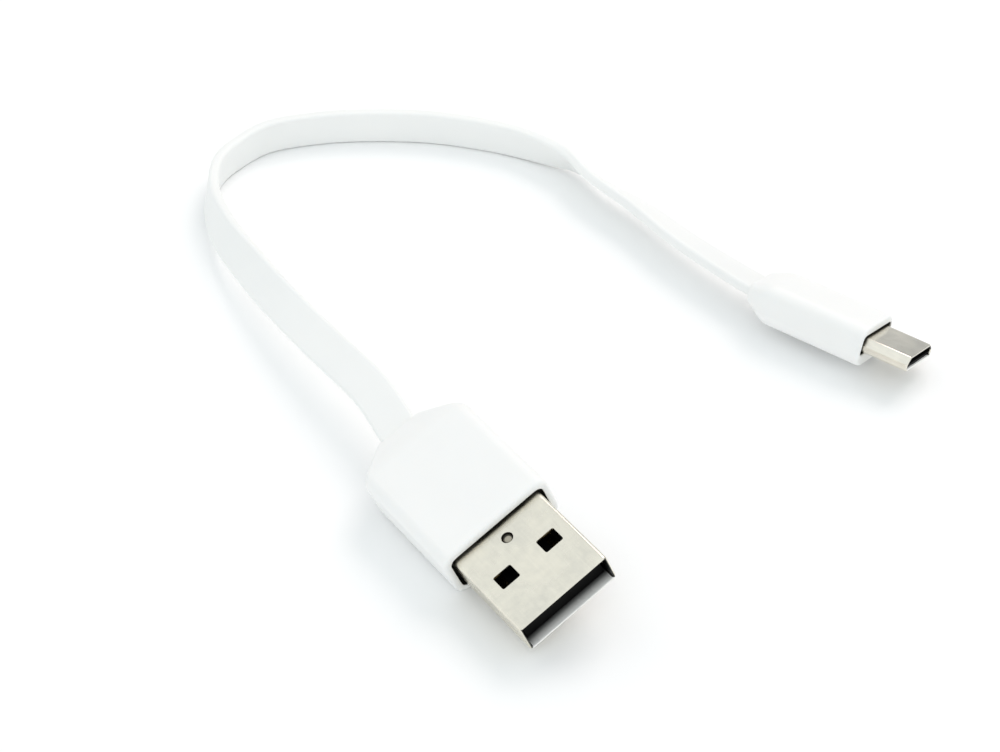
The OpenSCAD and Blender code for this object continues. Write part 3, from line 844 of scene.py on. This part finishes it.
def large_sleeve():
    """Folded sheet sleeve with a rounded mouth, latch windows, a locking dimple and a seam below."""
    w, h, t, end = 6.0, 2.25, 0.3, LARGE_SLEEVE_END
    outside = [(0.0, 0.15), (0.03, 0.09), (0.1, 0.04), (0.22, 0.012), (0.4, 0), (end - 0.05, 0), (end, 0.05)]
    inside = [(end, 0.05), (end - 0.05, 0), (0.3, 0), (0.12, 0.02), (0.04, 0.05), (0.0, 0.09)]
    rings = []
    for y, o in outside:
        rings.append(at_y(rounded_ring(o - w, w - o, o - h, h - o, 0.5 - o / 2, arc=7, nx=3, nz=1), y))
    for y, o in inside:
        i = t - o
        rings.append(at_y(rounded_ring(i - w, w - i, i - h, h - i, 0.24 + o / 2, arc=7, nx=3, nz=1), y))
    bm = bmesh.new()
    loft(bm, rings, closed=True)
    boss = prism(circle(DIMPLE_BOSS_R, 32, 0, DIMPLE_Y), h - 0.6, h - t + 0.05)
    body = cut(made(bm, "sleeve"), [boss], "UNION")
    cutters = [prism(window(x, 1.2, 5.15, 7.1, 0.22, 5), -4, 4) for x in (-LARGE_WINDOW_X, LARGE_WINDOW_X)]
    cutters.append(box(-SEAM_HALF, SEAM_HALF, -1, end + 1, -4, 0.2 - h))
    profile = [(0.3, 0.4), (0.46, 0.385), (0.56, 0.32), (0.61, 0.2), (0.64, 0.08), (0.7, -0.01), (0.8, -0.2)]
    dish = bmesh.new()
    loft(dish, [[Vector((*p, h - d)) for p in circle(r, 32, 0, DIMPLE_Y)] for r, d in profile], cap=True)
    cutters.append(made(dish, "dish"))
    return bevelled(cleaned(cut(body, cutters)), 0.035, 35)


def strip(x, w, points, t):
    """Springy strip w wide and t thick that follows points (y, z) down its middle."""
    ring = rounded_ring(-w / 2, w / 2, -t / 2, t / 2, t * 0.3, arc=3, nx=1, nz=1)
    rings = []
    last = len(points) - 1
    for i, (y, z) in enumerate(points):
        a, b = points[max(i - 1, 0)], points[min(i + 1, last)]
        d = Vector((b[0] - a[0], b[1] - a[1])).normalized()
        k = 0.7 if i in (0, last) else 1.0
        wide = 0.9 + 0.1 * k
        rings.append([Vector((x + u * wide, y - d.y * v * k, z + d.x * v * k)) for u, v in ring])
    bm = bmesh.new()
    loft(bm, rings, cap=True)
    return made(bm, "strip")


# middle of a flat contact, from its front lip to its tail
LARGE_CONTACT = [(2.42, -0.27), (2.48, -0.24), (2.6, -0.21), (2.9, -0.2)]
LARGE_CONTACT += [(9, -0.2), (17.5, -0.2), (17.6, -0.2)]


def beads(places, y0, y1, top, r):
    """Reflowed solder: a rounded mound over each conductor and its tail."""
    bm = bmesh.new()
    for x in places:
        rings = []
        for k in range(11):
            t = -1 + 2 * k / 10
            full = max(0.0, 1 - abs(t) ** 2.6) ** 0.5
            rr = r * (0.35 + 0.65 * full)
            y = (y0 + y1) / 2 + t * (y1 - y0) / 2
            ring = []
            for j in range(16):
                c, up = math.cos(math.pi * j / 15), math.sin(math.pi * j / 15)
                ring.append(Vector((x + rr * c * (1 + 0.12 * up), y, top + 0.02 + rr * 1.25 * up)))
            rings.append(ring)
        loft(bm, rings, cap=True)
    return made(bm, "beads")


def large(obj, name, node, slot, *paints):
    """Brings a piece of the large plug into the scene."""
    return finished(obj, name, LARGE, "cable", node, slot, *paints)


large(large_cover(), "usb_a_cover", "usb_a_overmould", "white_cover", WHITE, LARGE_OPENING)
large(large_sleeve(), "usb_a_sleeve", "usb_a_shell", "plated_steel", SLEEVE)
for name, x in zip(SIGNALS, LARGE_TAIL_X):
    contact = strip(x, 1.0, LARGE_CONTACT, 0.3)
    large(contact, f"usb_a_{name}_strip", f"usb_a_{name}_contact", "gold_plate", GOLD)
solder = beads(LARGE_TAIL_X, 16.1, 17.2, LARGE_TAIL_TOP, 0.42)
large(solder, "usb_a_solder", "usb_a_solder_joints", "solder", TIN)

# ---------------------------------------------------------------- small plug


LATCH_X = 2.15
SPRING_PITCH = 0.65


def small_section(t, r):
    """Outline of the small sleeve, t inside its outer face, with corners of radius r."""
    w, h = 3.425 - t, 0.9 - t
    corners = [
        (2.7 - 0.45 * t, h),
        (0.45 * t - 2.7, h),
        (-w, 0.1 - 0.4 * t),
        (-w, 0.45 * t - 0.55),
        (0.35 - 0.4 * t - w, -h),
        (w - 0.35 + 0.4 * t, -h),
        (w, 0.45 * t - 0.55),
        (w, 0.1 - 0.4 * t),
    ]
    return rounded_polygon(corners, [r * 1.3, r * 1.3, r, r * 0.7, r, r, r * 0.7, r], 4)


def small_cover():
    """White cover of the small plug, which narrows to the cable at its back."""
    w, lo, hi, r = 4.05, -2.9, 2.3, 1.6
    sections = front_edge(SMALL_COVER_FRONT, w, lo, hi, r, 5, 0.28, 0.4)
    sections += [(y, w, lo, hi, r) for y in (7.5, 10, 13, 16, 18.3)]
    sections += [
        (18.7, 4.03, -2.88, 2.29, 1.6),
        (19.1, 3.96, -2.78, 2.23, 1.55),
        (19.6, 3.82, -2.56, 2.08, 1.45),
        (20.2, 3.6, -2.2, 1.85, 1.3),
        (20.8, 3.38, -1.84, 1.6, 1.1),
        (21.4, 3.14, -1.46, 1.36, 0.92),
        (21.68, 3.02, -1.27, 1.24, 0.8),
        (SMALL_COVER_BACK, 2.9, -1.13, 1.13, 0.7),
    ]
    return cover(
        sections,
        mouth=small_section(0, 0.18),
        opening=rounded_ring(-3.775, 3.775, -1.3, 1.25, 0.65),
        room=rounded_ring(-2.9, 2.9, -1.1, 1.1, 0.1),
        sleeve_end=SMALL_SLEEVE_END,
        room_end=14.5,
    )


def small_sleeve():
    """Folded sheet sleeve with a rounded mouth and a slot below for each latch."""
    rings = []
    for y, o in ((0.0, 0.1), (0.03, 0.05), (0.1, 0.015), (0.2, 0), (SMALL_SLEEVE_END, 0)):
        rings.append(at_y(small_section(o, 0.18), y))
    for y, o in ((SMALL_SLEEVE_END, 0), (0.15, 0), (0.05, 0.02), (0.0, 0.07)):
        rings.append(at_y(small_section(0.25 - o, 0.1 + o / 2), y))
    bm = bmesh.new()
    loft(bm, rings, closed=True)
    slots = [prism(window(x, 0.3, 0.7, 2.3, 0.08, 3), -3, 0) for x in (-LATCH_X, LATCH_X)]
    return bevelled(cleaned(cut(made(bm, "sleeve"), slots)), 0.025, 38)


# side view of a latch arm, from its root over its upper side to the hook
LATCH_OUTLINE = [(5.56, -0.62), (5.56, -0.49), (0.95, -0.49), (0.95, -0.75)]
LATCH_OUTLINE += [(1.4, -1.17), (1.6, -1.17), (1.9, -0.9), (2.1, -0.62)]
LATCH_RADII = [0.02, 0.02, 0.05, 0.08, 0.06, 0.06, 0.06, 0.12]

# middle of a contact arm, from its root over the bulge that touches the socket's contact to its tip
SPRING = [(5.56, -0.425), (5.2, -0.425), (4.95, -0.42), (4.7, -0.39), (4.2, -0.33), (3.6, -0.25), (3, -0.172)]
SPRING += [(2.6, -0.12), (2.4, -0.095), (2.2, -0.086), (2.0, -0.095), (1.85, -0.14)]
SPRING += [(1.65, -0.24), (1.45, -0.36), (1.4, -0.385)]


def latch(x):
    """Latch arm 0.45 wide with its hook."""
    arm = prism(rounded_polygon(LATCH_OUTLINE, LATCH_RADII, 3), x - 0.225, x + 0.225, along_x=True)
    return cleaned(bevelled(cleaned(arm), 0.02, 40))


def small(obj, name, node, slot, *paints, body="cable"):
    """Brings a piece of the small plug into the scene."""
    return finished(obj, name, SMALL, body, node, slot, *paints)


small(small_cover(), "micro_b_cover", "micro_b_overmould", "white_cover", WHITE, SMALL_OPENING)
small(small_sleeve(), "micro_b_sleeve", "micro_b_shell", "plated_steel", SMALL_SLEEVE)
for k, name in enumerate(("vbus", "d_minus", "d_plus", "id", "ground")):
    node = f"micro_b_{name}_spring"
    arm = strip((k - 2) * SPRING_PITCH, 0.3, SPRING, 0.13)
    small(arm, f"micro_b_{name}_arm", node, "gold_plate", GOLD, body=f"{node}_arm")
for name, x in (("left", -LATCH_X), ("right", LATCH_X)):
    node = f"micro_b_{name}_latch"
    small(latch(x), f"micro_b_{name}_hook", node, "plated_steel", STEEL, body=f"{node}_arm")
solder = beads(SMALL_TAIL_X, 9.5, 10.5, SMALL_TAIL_TOP, 0.28)
small(solder, "micro_b_solder", "micro_b_solder_joints", "solder", TIN)

# ---------------------------------------------------------------- kept CAD nodes

# hidden pieces keep their CAD shape: each one's material, and how far its edges are rounded
KEPT = {
    "usb_a_insulator": (BLACK, 0.06),
    "usb_a_inner_mould": (MILKY, 0.08),
    "micro_b_insulator": (BLACK, 0.02),
    "micro_b_contact_tails": (GOLD, 0.02),
    "micro_b_latch_bases": (STEEL, 0.02),
    "micro_b_inner_mould": (MILKY, 0.05),
}
for node, (paint, width) in KEPT.items():
    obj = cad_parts[node]
    obj.data.materials.clear()
    obj.data.materials.append(paint)
    weld = obj.modifiers.new("weld", "WELD")
    weld.merge_threshold = 0.000002
    flat = obj.modifiers.new("flat", "DECIMATE")
    flat.decimate_type = "DISSOLVE"
    flat.angle_limit = math.radians(1)
    bevel(obj, width * MM, 40)
    slivers = obj.modifiers.new("slivers", "WELD")
    slivers.merge_threshold = 0.000001

# ---------------------------------------------------------------- small plug's pieces added to the cable's list

on_cable += [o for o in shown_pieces() if o.name.startswith("micro_b_")]

# ---------------------------------------------------------------- floor and light

# half the floor's side, the softbox and what it faces, and the direction of the sky's dimmer side
TABLE_HALF = 3
KEY_AT = Vector((0.62, 0.28, 0.75))
KEY_TOWARDS = Vector((0, 0.03, 0))
KEY_SIDE = 0.6
KEY_POWER = 3.3
KEY_COLOUR = (1.0, 0.9, 0.865)
DIM_SIDE = (0.7, 0.69, 0.18)


def lay_table():
    """Pale floor under the cable, far wider than the view."""
    bm = bmesh.new()
    bmesh.ops.create_grid(bm, x_segments=8, y_segments=8, size=TABLE_HALF)
    floor = made(bm, "floor")
    mat, tree, s = nodes_of("pale_floor")
    clouds = noise(tree, coords(tree, (1, 1, 1)), 40, 3)
    skin = ramp(tree, clouds, [(0.3, (0.96, 0.962, 0.962)), (0.7, (0.97, 0.97, 0.97))])
    link(tree, skin, s.inputs["Base Color"])
    s.inputs["Roughness"].default_value = 0.6
    s.inputs["Specular IOR Level"].default_value = 0.2
    floor.data.materials.append(mat)


def light_sky():
    """Even white surroundings, dimmer on one side so that the white faces there stay apart."""
    world = bpy.data.worlds.new("studio")
    scene.world = world
    world.use_nodes = True
    tree = world.node_tree
    background = tree.nodes["Background"]
    around = tree.nodes.new("ShaderNodeTexCoord").outputs["Generated"]
    towards = tree.nodes.new("ShaderNodeVectorMath")
    towards.operation = "DOT_PRODUCT"
    towards.inputs[1].default_value = DIM_SIDE
    link(tree, around, towards.inputs[0])
    sky = ramp(tree, towards.outputs["Value"], [(0.42, (0.945, 0.988, 1.0)), (0.9, (0.5, 0.52, 0.53))])
    link(tree, sky, background.inputs["Color"])
    background.inputs["Strength"].default_value = 1.0


def hang_key():
    """Warm softbox above the far side."""
    light = bpy.data.lights.new("key", "AREA")
    light.shape = "SQUARE"
    light.size = KEY_SIDE
    light.energy = KEY_POWER
    light.color = KEY_COLOUR
    obj = bpy.data.objects.new("key", light)
    scene.collection.objects.link(obj)
    obj.location = KEY_AT
    obj.rotation_mode = "QUATERNION"
    obj.rotation_quaternion = (KEY_TOWARDS - KEY_AT).to_track_quat("-Z", "Y")


lay_table()
light_sky()
hang_key()

scene.view_settings.view_transform = "Standard"
scene.view_settings.look = "None"
